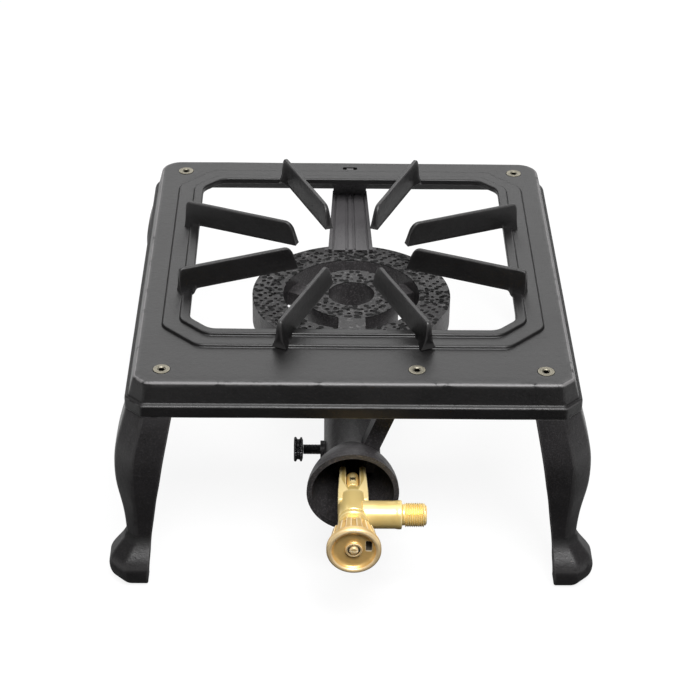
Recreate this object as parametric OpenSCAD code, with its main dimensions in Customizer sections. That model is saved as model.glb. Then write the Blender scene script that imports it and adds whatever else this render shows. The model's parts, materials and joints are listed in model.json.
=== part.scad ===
// Propane burner stand: a cast-iron top plate with pot fingers on four legs,
// a ported ring burner hung under it, and a brass needle valve in the burner's bell.
// Millimetres. +X right, +Y back, +Z up. The origin is under the middle of the whole
// stand, on the floor. Modules work from the middle of the plate's top face.

/* [Plate] */
// Width of the plate's flat top face
plate_w = 286; // [250:2:350]
// Depth of the plate's flat top face
plate_d = 314; // [280:2:380]
// Height of the plate's top face above the floor
plate_h = 152; // [135:1:190]
// Thickness of the plate's sheet
sheet_t = 4.5; // [4:0.5:6]
// How far the plate's skirt hangs below the top face
skirt_h = 23.5; // [20:0.5:28]
// How far the rim of the skirt stands out past the top face
skirt_flare = 6; // [4:0.5:8]
// Wall of the skirt
skirt_t = 5; // [4:0.5:6]
// Cut of the two front corners of the top face
front_cut = 8; // [5:0.5:12]
// Radius of the two back corners of the top face
back_r = 14.5; // [8:0.5:20]

/* [Window] */
// Width of the plate's two side bars beside the window
side_bar = 33; // [28:0.5:45]
// Width of the plate's front bar
front_bar = 61.5; // [50:0.5:75]
// Width of the plate's back bar
back_bar = 35.5; // [32:0.5:50]
// Cut of the window's corners
window_cut = 14; // [8:1:20]
// Height of each of the two steps around the window
step_h = 2; // [1:0.5:2.5]
// Width of the inner step
inner_step = 6.5; // [5:0.5:8]
// Width of both steps together
outer_step = 18; // [14:1:20]

/* [Pot fingers] */
// Height of the finger tops above the plate's top face
finger_h = 21; // [16:1:30]
// Distance from the burner's middle to the inner end of a finger's top edge
finger_in = 47; // [40:1:55]
// How far the side fingers' ends stand past the window's edge
finger_lap_side = 9.2; // [6:0.2:14]
// How far the front fingers' ends stand past the window's edge
finger_lap_front = 20.2; // [6:0.2:24]
// How far the back fingers' ends stand past the window's edge
finger_lap_back = 1.2; // [1:0.2:10]
// Thickness of a finger at its top
finger_t = 3; // [2.5:0.5:5]

/* [Legs] */
// How far a knee bulges past the rim
knee_out = 8.3; // [4:0.5:10]
// Height of the knee above the floor, as a share of the leg
knee_share = 0.68; // [0.6:0.02:0.75]
// How far an ankle stands past the rim
ankle_out = 2.5; // [0:0.5:5]
// Height of the ankle above the floor
ankle_h = 35; // [28:1:44]
// How far a toe stands out past the rim
toe_out = 14.2; // [8:0.2:18]
// Height of the toe's widest point above the floor
toe_h = 14; // [10:1:18]
// Width of a leg's wall at its top
leg_top_w = 31; // [26:1:36]
// Width of a leg's wall at its foot
leg_foot_w = 12; // [9:1:16]
// Thickness of a leg's wall
leg_t = 5.5; // [4:0.5:7]

/* [Screws] */
// Distance of the leg screws inward of the rim's sides
leg_screw_in_x = 24; // [23:0.5:28]
// Distance of the leg screws inward of the rim's front and back
leg_screw_in_y = 22; // [21.5:0.5:28]
// Thread diameter of the plate's screws
screw_d = 6; // [5:0.5:6]
// Diameter of a countersunk head
screw_head_d = 11; // [10:0.5:12]
// Clearance of a screw in its hole, on the radius
screw_gap = 0.3; // [0.2:0.05:0.5]
// Length of a screw under its countersunk head
screw_l = 18; // [17:0.5:22]
// Place of the burner screw to the right of the middle
burner_screw_x = 41; // [36:1:46]
// Distance of the burner screw inward of the rim's front
burner_screw_in = 23; // [22:0.5:28]

/* [Burner] */
// How far the burner's middle sits behind the middle of the plate
burner_y = 3.5; // [0:0.5:8]
// Depth of the burner's ported face below the plate's top face
burner_drop = 27; // [24:1:32]
// Outer radius of the outer burner ring
ring_out = 70.7; // [66:0.1:74]
// Inner radius of the outer burner ring
ring_in = 48.7; // [46:0.1:50]
// Outer radius of the inner burner ring
core_out = 34; // [32:0.5:36]
// Radius of the hole in the middle of the burner
core_hole = 16.5; // [14:0.5:18]
// Height of the burner's rings
ring_h = 20; // [18:1:24]
// Wall of the burner casting
burner_wall = 4; // [3.5:0.5:4.5]
// Diameter of a gas port
port_d = 2.6; // [2:0.1:3]
// Width of the front spoke
spoke_w = 19; // [16:1:22]
// Distance of the burner's rear tongue inward of the rim's back
rear_tongue_in = 16; // [14:0.5:19]

/* [Mixing tube and bell] */
// Depth of the tube's and the valve's axis below the plate's top face
tube_drop = 77; // [74:1:82]
// Outer radius of the mixing tube
tube_r = 19; // [18:0.5:21]
// Outer radius of the bell's mouth
bell_r = 30.5; // [28:0.5:34]
// How far the bell's mouth stands in front of the rim
bell_out = 7; // [4:0.5:14]
// Length of the bell
bell_l = 32; // [26:1:36]
// Wall of the bell and the tube
bell_wall = 3.5; // [3:0.5:4]

/* [Valve] */
// How far the knob's face stands in front of the bell's mouth
knob_out = 64; // [60:1:70]
// Diameter of the knob
knob_d = 35; // [32:1:40]
// Thread diameter of the gas inlet
inlet_d = 15.9; // [13:0.1:17]
// Distance of the inlet's end from the valve's axis
inlet_reach = 47.5; // [44:0.5:60]
// Length of the inlet's thread
inlet_thread = 16; // [12:1:20]
// Radius of the valve's spindle
spindle_r = 3; // [2.5:0.25:3.5]
// Running clearance on the radius of what turns or slides
run_gap = 0.05; // [0.02:0.01:0.1]
// Gap left between a moving piece and what it passes
free_gap = 0.4; // [0.3:0.1:0.6]

/* [Hidden] */
round_fn = 64;

// The rim of the skirt, and the whole stand's middle from front to back
rim_x = plate_w / 2 + skirt_flare;
rim_y = plate_d / 2 + skirt_flare;
bell_reach = rim_y + bell_out;
knob_reach = bell_reach + knob_out;
plate_y = (knob_reach - rim_y - toe_out) / 2;

// The skirt's ledge, and the slope along the top edges that stands for their rounding
ledge_share = 0.58;
ledge_z = -skirt_h * ledge_share;
ledge_drop = 1.2;
ledge_out = skirt_flare * 0.6;
edge_round = 1;
edge_low = 0.4;
edge_top = -0.6;

// The window's edges, and the height of both steps
window_x = plate_w / 2 - side_bar;
window_front = front_bar - plate_d / 2;
window_back = plate_d / 2 - back_bar;
step_top = 2 * step_h;

// Fingers
finger_count = 8;
finger_step = 360 / finger_count;
finger_lean = 5;
finger_round = 1.2;
finger_draft = 1.6;
finger_foot_l = 15;
finger_foot_w = 12;
finger_foot_h = 6;

// Legs: from the floor to the rim, and inside the skirt up to the sheet
leg_h = plate_h - skirt_h;
knee_h = leg_h * knee_share;
leg_cut = 12;
ankle_cut = 7;
toe_cut = 10.5;
sole_in = 7;
sole_cut = 8;
shoulder_t = 11;
shoulder_wall = 4.5;
shoulder_narrow = 3;
shoulder_in = 0.5;
inner_cut = 0.6;
foot_notch = 2;
pad_t = 9;
pad_gap = 0.8;
pad_reach = 36;
leg_rings = 30;

// Screws, washers and nuts
leg_screw_x = rim_x - leg_screw_in_x;
leg_screw_y = rim_y - leg_screw_in_y;
burner_screw_y = rim_y - burner_screw_in;
head_h = (screw_head_d - screw_d) / 2;
head_proud = 0.3;
hex_key = 4;
hex_deep = 2.2;
washer_r = screw_d;
washer_t = 1.6;
nut_af = 10;
nut_h = 5;
thread_gap = 0.02;
// a hexagon's corner radius from its width across flats
hex_corner = 1 / sqrt(3);

// Burner rings and their gas ways
face_z = -burner_drop;
ring_floor = face_z - ring_h;
way_top = face_z - burner_wall;
way_floor = ring_floor + burner_wall;
port_rows = 4;
port_first = 44;
port_more = 4;
core_port_rows = 2;
core_port_first = 15;
core_port_more = 6;
spoke_end = ring_in + burner_wall / 2;
low_spoke_w = 15;
low_spoke_top = face_z - 9;
tube_z = -tube_drop;
tube_in = tube_r - bell_wall;
riser_y = burner_y - (ring_in + core_out) / 2;
riser_r = 16;
riser_in = 12;
tube_back = riser_y + tube_r + 1;
tube_nose = 5;
neck_y = -(bell_reach - bell_l);

// Rear arm with its upright end and tongue; the strips' edges are shares of its half width
rear_tongue_y = rim_y - rear_tongue_in;
arm_ridge = 0.09;
arm_band_in = 0.24;
arm_band_out = 0.74;
arm_lip = 0.84;
arm_foot_t = 8;
arm_foot_w = 25;
arm_end = rear_tongue_y + arm_foot_t / 2;
arm_start = burner_y + ring_out - 9;
arm_rise = 6;
arm_w_ring = 33;
arm_w_end = 26;
arm_t = 5;
arm_rib_h = 2.5;
arm_strip_short = 3;
arm_web_h = 14;
arm_drop = face_z + 1.5;
tongue_w = 5;
tongue_t = 3;
slot_side = 3;
slot_gap = 0.5;

// Burner lug, rail and thumb screw
lug_r = 9;
lug_t = 6;
lug_bar = 11;
lug_clear = 14;
leg_pad_z = -sheet_t - pad_t;
lug_pad_z = -sheet_t - lug_t;
rail_h = 13;
rail_lip = 2;
rail_front = bell_reach - 32;
rail_back = bell_reach - 58;
thumb_y = 50 - bell_reach;
thumb_d = 7;
thumb_boss_r = 6;
thumb_boss_x = 21.5;
thumb_neck_x = 33;
thumb_head_x = 39.5;
thumb_head_r = 8.5;

// Valve, measured forward from the plate's middle along the valve's axis
tongue_back = bell_reach - 54;
tongue_half = 3;
tongue_out = 8.5;
tongue_in = 5;
fork_back = bell_reach - 21;
fork_root = bell_reach + 8;
fork_half = 7;
fork_block = 8;
fork_slot = 8.8;
fork_slot_root = bell_reach + 2;
fork_tip_w = 17;
fork_root_w = 20;
barrel_front = bell_reach + 35;
barrel_r = 10;
inlet_s = bell_reach + 24;
inlet_r = 9.2;
inlet_bore = 4;
way_r = 3;
chamber_back = bell_reach + 16;
chamber_r = 5;
packing_back = bell_reach + 25;
packing_front = bell_reach + 28.5;
packing_r = 5.6;
gland_front = bell_reach + 43;
gland_af = 15;
gland_r = 5.8;
jet_thread_r = 2.5;
jet_seat = bell_reach + 14;
jet_hex_back = bell_reach - 4;
jet_tip = bell_reach - 20;
jet_nose_l = 2.5;
jet_nose_r = 1.8;
jet_r = 4.1;
jet_af = 7.4;
jet_hole = 0.6;
jet_cross_r = 1.2;
jet_cross_s = bell_reach - 10.5;
seat_hole = 1.2;

// Knob and what holds it
knob_back = gland_front + 1;
rim_back = knob_reach - 6;
knob_back_r = 13.8;
hub_r = 5.3;
hub_cup = 4.2;
knob_r = knob_d / 2;
dish_r = knob_r - 3;
dish_deep = 3.4;
hub_floor = knob_reach - 3.2;
spindle_front = hub_floor - 1;
flute_count = 14;
flute_r = 1.6;
flute_out = 0.6;
knob_slot_w = 4;
knob_slot_h = 8;
knob_slot_x = 9.5;
knob_slot_up = 2.5;
knob_screw_r = 2;
knob_screw_back = spindle_front - 9;
knob_screw_head = 2.9;
knob_washer_r = 3.9;
knob_washer_t = 0.8;

iron = [0.13, 0.12, 0.13];
brass = [0.83, 0.66, 0.24];
old_brass = [0.66, 0.47, 0.17];
zinc = [0.75, 0.75, 0.72];

// Everything below is placed from the middle of the plate's top face
module at_plate() {
    translate([0, plate_y, plate_h]) children();
}

// Local +Z runs forward along the valve's axis, and local +Y is up
module on_valve_axis() {
    at_plate() translate([0, 0, tube_z]) rotate([90, 0, 0]) children();
}

// A round bar between two places on the axis, from a to b
module bar(a, b, r, r2 = undef) {
    translate([0, 0, a]) cylinder(h = b - a, r1 = r, r2 = is_undef(r2) ? r : r2, $fn = round_fn);
}

// A hexagonal bar between two places, by its width across flats
module hex_bar(a, b, af) {
    translate([0, 0, a]) cylinder(h = b - a, r = af * hex_corner, $fn = 6);
}

// Plan of the plate grown by g: front corners cut at 45 degrees, back corners round
function plate_plan(g) =
    let (x = plate_w / 2 + g, y = plate_d / 2 + g, c = front_cut + g * (2 - sqrt(2)), r = back_r + g)
    concat([[-x + c, -y], [x - c, -y], [x, -y + c]],
        [for (a = [0:15:90]) [x - r + r * cos(a), y - r + r * sin(a)]],
        [for (a = [90:15:180]) [-x + r + r * cos(a), y - r + r * sin(a)]],
        [[-x, -y + c]]);

// A solid skinned over plans of equal length, one at each height of zs
module skin(plans, zs) {
    n = len(plans[0]);
    rings = len(zs);
    points = [for (k = [0:rings - 1]) for (p = plans[k]) [p[0], p[1], zs[k]]];
    sides = [for (k = [0:rings - 2]) for (i = [0:n - 1])
        let (j = (i + 1) % n) [k * n + i, k * n + j, (k + 1) * n + j, (k + 1) * n + i]];
    bottom = [[for (i = [0:n - 1]) i]];
    top = [[for (i = [n - 1:-1:0]) (rings - 1) * n + i]];
    polyhedron(points = points, faces = concat(sides, bottom, top), convexity = 6);
}

// Plan of the window grown by g, with all four corners cut
module window_plan(g) {
    x = window_x + g;
    a = window_front - g;
    b = window_back + g;
    c = window_cut + g * (2 - sqrt(2));
    polygon([[-x + c, a], [x - c, a], [x, a + c], [x, b - c], [x - c, b], [-x + c, b], [-x, b - c],
        [-x, a + c]]);
}

// The plate's outside without its holes
module plate_block() {
    skin([plate_plan(skirt_flare), plate_plan(skirt_flare), plate_plan(ledge_out),
        plate_plan(edge_low), plate_plan(edge_top)],
        [-skirt_h, ledge_z - ledge_drop, ledge_z, -edge_round, 0]);
    linear_extrude(step_h) window_plan(outer_step);
    linear_extrude(step_top) window_plan(inner_step);
}

// A countersunk hole at the top face
module countersink() {
    bar(-sheet_t - 1, 1, screw_d / 2 + screw_gap);
    bar(-head_h, head_proud, screw_d / 2 + screw_gap, screw_head_d / 2 + screw_gap + head_proud);
}

module at_leg_screws() {
    for (x = [-leg_screw_x, leg_screw_x]) {
        for (y = [-leg_screw_y, leg_screw_y]) {
            translate([x, y, 0]) children();
        }
    }
}

module at_burner_screw() {
    translate([burner_screw_x, -burner_screw_y, 0]) children();
}

module top_plate() {
    color(iron) at_plate() difference() {
        plate_block();
        skin([plate_plan(skirt_flare - skirt_t), plate_plan(-skirt_t)], [-skirt_h - 1, -sheet_t]);
        translate([0, 0, -sheet_t - 1]) linear_extrude(step_h + 1) window_plan(outer_step - sheet_t);
        translate([0, 0, -sheet_t - 1]) linear_extrude(step_top + 1) window_plan(inner_step - sheet_t / 2);
        translate([0, 0, -sheet_t - 1]) linear_extrude(sheet_t + step_top + 2) window_plan(0);
        at_leg_screws() countersink();
        at_burner_screw() countersink();
        translate([0, rear_tongue_y, -sheet_t / 2])
            cube([tongue_w + 2 * slot_side, tongue_t + 2 * slot_gap, sheet_t + 2], center = true);
    }
}

// Radius of the outer end of finger k, on the bar that it stands on
function finger_out(k) =
    let (a = (k + 0.5) * finger_step)
    abs(cos(a)) > 0.5 ? (window_x + finger_lap_side) / abs(cos(a)) :
    sin(a) < 0 ? (burner_y - window_front + finger_lap_front) / abs(sin(a)) :
    (window_back - burner_y + finger_lap_back) / sin(a);

// Side view of a finger that ends at radius out, radius against height
module finger_side(out) {
    polygon([[finger_in + 3, finger_h], [finger_in, finger_h - 2], [finger_in - finger_lean, step_top],
        [out - finger_foot_l, step_top], [out - finger_foot_l, -1], [out, -1], [out, finger_h - 2],
        [out - 2, finger_h]]);
}

// End view of a finger: rounded top edges and a slight draft
module finger_end() {
    t = finger_t / 2;
    b = t + finger_draft;
    r = finger_round;
    polygon(concat([[-b, -2], [b, -2]],
        [for (a = [0:22.5:90]) [t - r + r * cos(a), finger_h - r + r * sin(a)]],
        [for (a = [90:22.5:180]) [-t + r + r * cos(a), finger_h - r + r * sin(a)]]));
}

// End view of a finger's foot, flaring out to the plate
module foot_end() {
    w = finger_foot_w / 2;
    t = finger_t / 2;
    polygon(concat([[-w, -1], [w, -1]],
        [for (a = [0:15:90]) [w - (w - t) * sin(a), finger_foot_h * (1 - cos(a)) + 0.01]],
        [for (a = [90:-15:0]) [-w + (w - t) * sin(a), finger_foot_h * (1 - cos(a)) + 0.01]]));
}

module one_finger(out) {
    intersection() {
        rotate([90, 0, 0]) linear_extrude(finger_foot_w, center = true) finger_side(out);
        rotate([90, 0, 90]) linear_extrude(out + 1) finger_end();
    }
    translate([out - finger_foot_l, 0, step_h]) rotate([90, 0, 90])
        linear_extrude(finger_foot_l) foot_end();
}

module pot_fingers() {
    color(iron) at_plate() difference() {
        translate([0, burner_y, 0]) {
            for (k = [0:finger_count - 1]) {
                rotate([0, 0, (k + 0.5) * finger_step]) one_finger(finger_out(k));
            }
        }
        plate_block();
    }
}

// Smooth step from a to b as s goes from 0 to 1
function ease(a, b, s) = a + (b - a) * (1 - cos(180 * s)) / 2;

// How far a leg's outer face stands past the rim at height z above the floor
function leg_out(z) =
    z > knee_h ? knee_out * sin(90 * (leg_h - z) / (leg_h - knee_h)) :
    z > ankle_h ? ease(ankle_out, knee_out, (z - ankle_h) / (knee_h - ankle_h)) :
    z > toe_h ? ease(toe_out, ankle_out, (z - toe_h) / (ankle_h - toe_h)) :
    sole_in + (toe_out - sole_in) * sqrt(1 - pow(1 - z / toe_h, 2));

// Cut of a leg's outer corner at height z
function leg_corner(z) =
    z > knee_h ? leg_cut :
    z > ankle_h ? ease(ankle_cut, leg_cut, (z - ankle_h) / (knee_h - ankle_h)) :
    z > toe_h ? ease(toe_cut, ankle_cut, (z - toe_h) / (ankle_h - toe_h)) :
    ease(sole_cut, toe_cut, z / toe_h);

// Width of a leg's walls inward of the rim at height z
function leg_width(z) = leg_foot_w + (leg_top_w - leg_foot_w) * pow(z / leg_h, 1.4);

// Wall that leaves a foot solid but for a small notch, at height z
function foot_wall(z) = leg_out(z) + leg_width(z) - foot_notch - inner_cut * leg_corner(z);

// Thickness of a leg's walls at height z: a thick shoulder, thin walls, a solid foot
function leg_wall(z) =
    z > knee_h ? ease(leg_t, shoulder_t, pow((z - knee_h) / (leg_h - knee_h), 3)) :
    z > ankle_h ? leg_t :
    z > toe_h ? ease(foot_wall(toe_h), leg_t, (z - toe_h) / (ankle_h - toe_h)) :
    foot_wall(z);

// An angle section whose outer corner is cut by c: its outer faces stand d past the
// rim, its walls are t thick and reach w inward of the rim
function angle_plan(d, c, t, w) =
    let (k = c * inner_cut)
    [[-w, d], [-w, d - t], [d - t - k, d - t], [d - t, d - t - k], [d - t, -w], [d, -w], [d, d - c],
        [d - c, d]];

function leg_plan(z) = angle_plan(leg_out(z), leg_corner(z), leg_wall(z), leg_width(z));

// Plan of the pad that the screw goes through, its outer faces d past the rim
function pad_plan(d) =
    let (c = leg_cut, e = pad_reach - leg_cut)
    [[-pad_reach, d], [-pad_reach, -e], [-pad_reach + c / 3, -e - c / 3], [-e - c / 3, -pad_reach + c / 3],
        [-e, -pad_reach], [d, -pad_reach], [d, d - c], [d - c, d]];

// One leg, with x and y running outward from the rim's corner and z up from the floor:
// the leg itself, a shoulder inside the skirt and the pad under the plate's sheet
module leg_casting() {
    zs = [for (k = [0:leg_rings]) leg_h * (1 - cos(180 * k / leg_rings)) / 2];
    top = plate_h - sheet_t;
    low = top - pad_t;
    // how far inside the rim the pad's outer faces stand, a gap clear of the skirt
    out_high = -skirt_t - skirt_flare - pad_gap;
    out_low = out_high + skirt_flare * pad_t / (skirt_h - sheet_t);
    out_rim = -skirt_t - pad_gap;
    w = leg_top_w - shoulder_narrow;
    difference() {
        skin(concat([for (z = zs) leg_plan(z)],
            [angle_plan(out_rim, leg_cut, shoulder_wall, w),
                angle_plan(out_low - shoulder_in, leg_cut, shoulder_wall, w), pad_plan(out_low),
                pad_plan(out_high)]),
            concat(zs, [leg_h, low, low, top]));
        translate([-leg_screw_in_x, -leg_screw_in_y, low - 1])
            cylinder(h = pad_t + 2, r = screw_d / 2 + screw_gap, $fn = round_fn);
    }
}

// sx and sy are 1 or -1: which corner of the plate the leg stands under
module leg(sx, sy) {
    color(iron) translate([sx * rim_x, plate_y + sy * rim_y, 0])
        mirror([sx < 0 ? 1 : 0, 0, 0]) mirror([0, sy < 0 ? 1 : 0, 0]) leg_casting();
}

module leg_front_left() { leg(-1, -1); }
module leg_front_right() { leg(1, -1); }
module leg_back_left() { leg(-1, 1); }
module leg_back_right() { leg(1, 1); }

// A countersunk screw with a hexagon socket, its head in the plate's top face
module plate_screw() {
    difference() {
        union() {
            bar(-head_h - 0.3, head_proud, screw_d / 2 - 0.3, screw_head_d / 2);
            bar(-screw_l - head_h, -head_h, screw_d / 2);
        }
        hex_bar(head_proud - hex_deep, head_proud + 1, hex_key);
    }
}

// A washer and a nut under a pad whose underside is at z
module plate_washer(z) {
    difference() {
        bar(z - washer_t, z, washer_r);
        bar(z - washer_t - 1, z + 1, screw_d / 2 + screw_gap);
    }
}

module plate_nut(z) {
    difference() {
        hex_bar(z - washer_t - nut_h, z - washer_t, nut_af);
        bar(z - washer_t - nut_h - 1, z, screw_d / 2 + thread_gap);
    }
}

module leg_screws() {
    color(zinc) at_plate() at_leg_screws() plate_screw();
}

module leg_washers() {
    color(zinc) at_plate() at_leg_screws() plate_washer(leg_pad_z);
}

module leg_nuts() {
    color(zinc) at_plate() at_leg_screws() plate_nut(leg_pad_z);
}

module burner_screw() {
    color(zinc) at_plate() at_burner_screw() plate_screw();
}

module burner_washer() {
    color(zinc) at_plate() at_burner_screw() plate_washer(lug_pad_z);
}

module burner_nut() {
    color(zinc) at_plate() at_burner_screw() plate_nut(lug_pad_z);
}

// Plan of both rings and the front spoke
module burner_plan(wall) {
    difference() {
        circle(ring_out - wall, $fn = round_fn);
        circle(ring_in + wall, $fn = round_fn);
    }
    difference() {
        union() {
            circle(core_out - wall, $fn = round_fn);
            translate([-spoke_w / 2 + wall, -spoke_end - wall]) square([spoke_w - 2 * wall, spoke_end]);
        }
        circle(core_hole + wall, $fn = round_fn);
    }
}

// Rows of gas ports between radius a and radius b, each row turned half a step
module port_circles(a, b, rows, first, more) {
    for (k = [0:rows - 1]) {
        n = first + more * k;
        radius = a + (b - a) * (k + 0.5) / rows;
        for (i = [0:n - 1]) {
            rotate((i + 0.5 * (k % 2)) * 360 / n) translate([radius, 0]) circle(d = port_d, $fn = 16);
        }
    }
}

// The two rings with their gas ways and ports
module burner_rings() {
    difference() {
        union() {
            translate([0, 0, ring_floor]) linear_extrude(ring_h) burner_plan(0);
            for (a = [30, 150]) {
                rotate([0, 0, a]) translate([core_hole + burner_wall, -low_spoke_w / 2, ring_floor])
                    cube([ring_in - core_hole, low_spoke_w, low_spoke_top - ring_floor]);
            }
        }
        translate([0, 0, way_floor]) linear_extrude(way_top - way_floor) burner_plan(burner_wall);
        translate([0, 0, way_top - 1]) linear_extrude(burner_wall + 2) {
            port_circles(ring_in + burner_wall, ring_out - burner_wall, port_rows, port_first, port_more);
            port_circles(core_hole + burner_wall, core_out - burner_wall, core_port_rows,
                core_port_first, core_port_more);
        }
    }
}

// The bell's radius at distance s in front of its neck, on a quarter of an ellipse
function bell_at(s) = tube_r + (bell_r - tube_r) * sin(90 * s / bell_l);

module bell_profile(wall) {
    rotate_extrude($fn = round_fn) polygon(concat([[0, 0]],
        [for (k = [0:8]) [bell_at(bell_l * k / 8) - wall, bell_l * k / 8]],
        [[0, bell_l]]));
}

// The outside of the mixing tube, the bell, the riser, the boss and the lug
module tube_outside() {
    translate([0, 0, tube_z]) rotate([90, 0, 0]) {
        bar(-tube_back, -neck_y + 1, tube_r);
        bar(-tube_back - tube_nose, -tube_back, tube_r - tube_nose, tube_r);
        translate([0, 0, -neck_y]) bell_profile(0);
    }
    translate([0, riser_y, 0]) bar(tube_z, way_floor - 1, riser_r);
    translate([0, thumb_y, tube_z]) rotate([0, -90, 0]) bar(tube_in + 1, thumb_boss_x, thumb_boss_r);
    at_burner_screw() {
        bar(lug_pad_z, -sheet_t, lug_r);
        lug_fall = tube_drop - lug_t - tube_r * 0.8;
        lug_run = burner_screw_x - lug_r - tube_r * 0.55;
        lean = atan(lug_run / lug_fall);
        translate([-lug_r, 0, -sheet_t - 2.2]) rotate([0, 180 + lean, 0])
            translate([-lug_bar / 2, -lug_bar / 2, 0]) cube([lug_bar, lug_bar, lug_fall / cos(lean)]);
    }
}

// The rail on the right of the neck that one arm of the valve's fork lies in
module fork_rail() {
    difference() {
        translate([tongue_out - rail_lip, -rail_front, tube_z - rail_h / 2])
            cube([tube_r - tongue_out + rail_lip - 1, rail_front - rail_back, rail_h]);
        translate([0, -rail_front - 1, tube_z - tongue_half - free_gap])
            cube([tongue_out + free_gap, rail_front, 2 * (tongue_half + free_gap)]);
    }
}

// One raised strip of the rear arm, as shares of the arm's half width
module arm_strip(a, b, low, high) {
    l = arm_end - arm_strip_short - arm_start;
    translate([0, 0, low]) linear_extrude(high - low)
        polygon([[a * arm_w_ring / 2, 0], [b * arm_w_ring / 2, 0], [b * arm_w_end / 2, l],
            [a * arm_w_end / 2, l]]);
}

// The arm that carries the burner's back from the plate
module rear_arm() {
    slope = atan(arm_rise / (arm_end - arm_start));
    translate([0, arm_start, arm_drop]) rotate([slope, 0, 0]) {
        arm_strip(-1, 1, -arm_rib_h - arm_t, -arm_rib_h);
        arm_strip(-arm_ridge, arm_ridge, -arm_rib_h - 1, 0);
        for (s = [-1, 1]) {
            arm_strip(s * arm_band_in, s * arm_band_out, -arm_rib_h - 1, -0.4);
            arm_strip(s * arm_lip, s, -arm_web_h, 0.2);
        }
    }
    translate([-arm_foot_w / 2, arm_end - arm_foot_t, arm_drop - arm_t])
        cube([arm_foot_w, arm_foot_t, -sheet_t - 0.2 - arm_drop + arm_t]);
    translate([-tongue_w / 2, rear_tongue_y - tongue_t / 2, -sheet_t - 1])
        cube([tongue_w, tongue_t, sheet_t + 0.4]);
}

module burner_casting() {
    color(iron) at_plate() difference() {
        union() {
            difference() {
                union() {
                    translate([0, burner_y, 0]) burner_rings();
                    tube_outside();
                }
                translate([0, 0, tube_z]) rotate([90, 0, 0]) {
                    bar(-tube_back + bell_wall, -neck_y + 0.5, tube_in);
                    translate([0, 0, -neck_y + 0.01]) bell_profile(bell_wall);
                }
                translate([0, riser_y, 0]) bar(tube_z, way_top - 1, riser_in);
                translate([0, thumb_y, tube_z]) rotate([0, -90, 0])
                    bar(0, thumb_boss_x + 1, thumb_d / 2 + run_gap);
                at_burner_screw() bar(lug_pad_z - lug_clear, 1, screw_d / 2 + screw_gap);
                at_burner_screw() bar(lug_pad_z - lug_clear, lug_pad_z, washer_r + 1);
            }
            fork_rail();
            rear_arm();
        }
        translate([0, burner_y, way_floor]) linear_extrude(way_top - way_floor) burner_plan(burner_wall);
    }
}

// The screw in the side of the neck that clamps the fork on its rail
module thumb_screw() {
    tip = tongue_out + free_gap;
    color(iron) at_plate() translate([0, thumb_y, tube_z]) rotate([0, -90, 0]) {
        bar(tip, thumb_head_x - 3, thumb_d / 2);
        rotate_extrude($fn = round_fn) polygon([[0, thumb_neck_x], [thumb_head_r - 1.5, thumb_neck_x],
            [thumb_head_r, thumb_neck_x + 1.2], [thumb_head_r, thumb_head_x - 1.2],
            [thumb_head_r - 1.2, thumb_head_x], [thumb_head_r - 3.2, thumb_head_x],
            [thumb_head_r - 4, thumb_head_x - 1], [0, thumb_head_x - 1]]);
    }
}

// Plan of the valve's fork, from above
module fork_plan() {
    difference() {
        polygon([[-fork_tip_w / 2, -fork_back], [-fork_root_w / 2, -fork_root],
            [-fork_root_w / 2, -fork_root - fork_block], [fork_root_w / 2, -fork_root - fork_block],
            [fork_root_w / 2, -fork_root], [fork_tip_w / 2, -fork_back]]);
        translate([-fork_slot / 2, -fork_slot_root]) square([fork_slot, fork_slot_root]);
    }
}

module valve_body() {
    color(brass) difference() {
        union() {
            at_plate() translate([0, 0, tube_z - fork_half]) linear_extrude(2 * fork_half) fork_plan();
            for (s = [-1, 1]) {
                x = s > 0 ? tongue_in : -tongue_out;
                at_plate() translate([x, -fork_back - 2, tube_z - tongue_half])
                    cube([tongue_out - tongue_in, fork_back + 2 - tongue_back, 2 * tongue_half]);
            }
            on_valve_axis() {
                bar(fork_root, barrel_front - 1.5, barrel_r);
                bar(barrel_front - 1.5, barrel_front, barrel_r, barrel_r - 1.5);
                translate([0, 0, inlet_s]) rotate([0, 90, 0]) inlet_outside();
            }
        }
        on_valve_axis() {
            bar(fork_slot_root - 1, jet_seat, jet_thread_r + thread_gap);
            bar(jet_seat - 1, chamber_back + 1, seat_hole);
            bar(chamber_back, packing_back + 1, chamber_r);
            bar(packing_back, barrel_front + 1, gland_r + thread_gap);
            translate([0, 0, inlet_s - way_r]) rotate([0, 90, 0]) bar(0, barrel_r + 6, way_r);
            translate([0, 0, inlet_s]) rotate([0, 90, 0]) bar(barrel_r + 4, inlet_reach + 1, inlet_bore);
        }
    }
}

// The side branch, radius against length: a smooth stub, a shoulder, a relief groove and
// the threaded end
module inlet_outside() {
    start = inlet_reach - inlet_thread;
    collar = inlet_r + 0.3;
    relief = inlet_d / 2 - 1.2;
    crest = inlet_d / 2;
    rotate_extrude($fn = round_fn) polygon([[0, 0], [inlet_r, 0], [inlet_r, start - 4],
        [collar, start - 2.5], [collar, start], [relief, start], [relief, start + 1.5],
        [crest, start + 1.5], [crest, inlet_reach - 1], [crest - 1, inlet_reach], [0, inlet_reach]]);
}

module gas_jet() {
    color(brass) on_valve_axis() difference() {
        union() {
            bar(jet_tip, jet_tip + jet_nose_l, jet_nose_r, jet_r);
            bar(jet_tip + jet_nose_l, jet_hex_back, jet_r);
            hex_bar(jet_hex_back, fork_slot_root, jet_af);
            bar(fork_slot_root - 0.5, jet_seat, jet_thread_r);
        }
        bar(jet_tip - 1, jet_seat + 1, jet_hole);
        translate([0, 0, jet_cross_s]) rotate([90, 0, 0])
            cylinder(h = 3 * jet_r, r = jet_cross_r, center = true, $fn = round_fn);
    }
}

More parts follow.
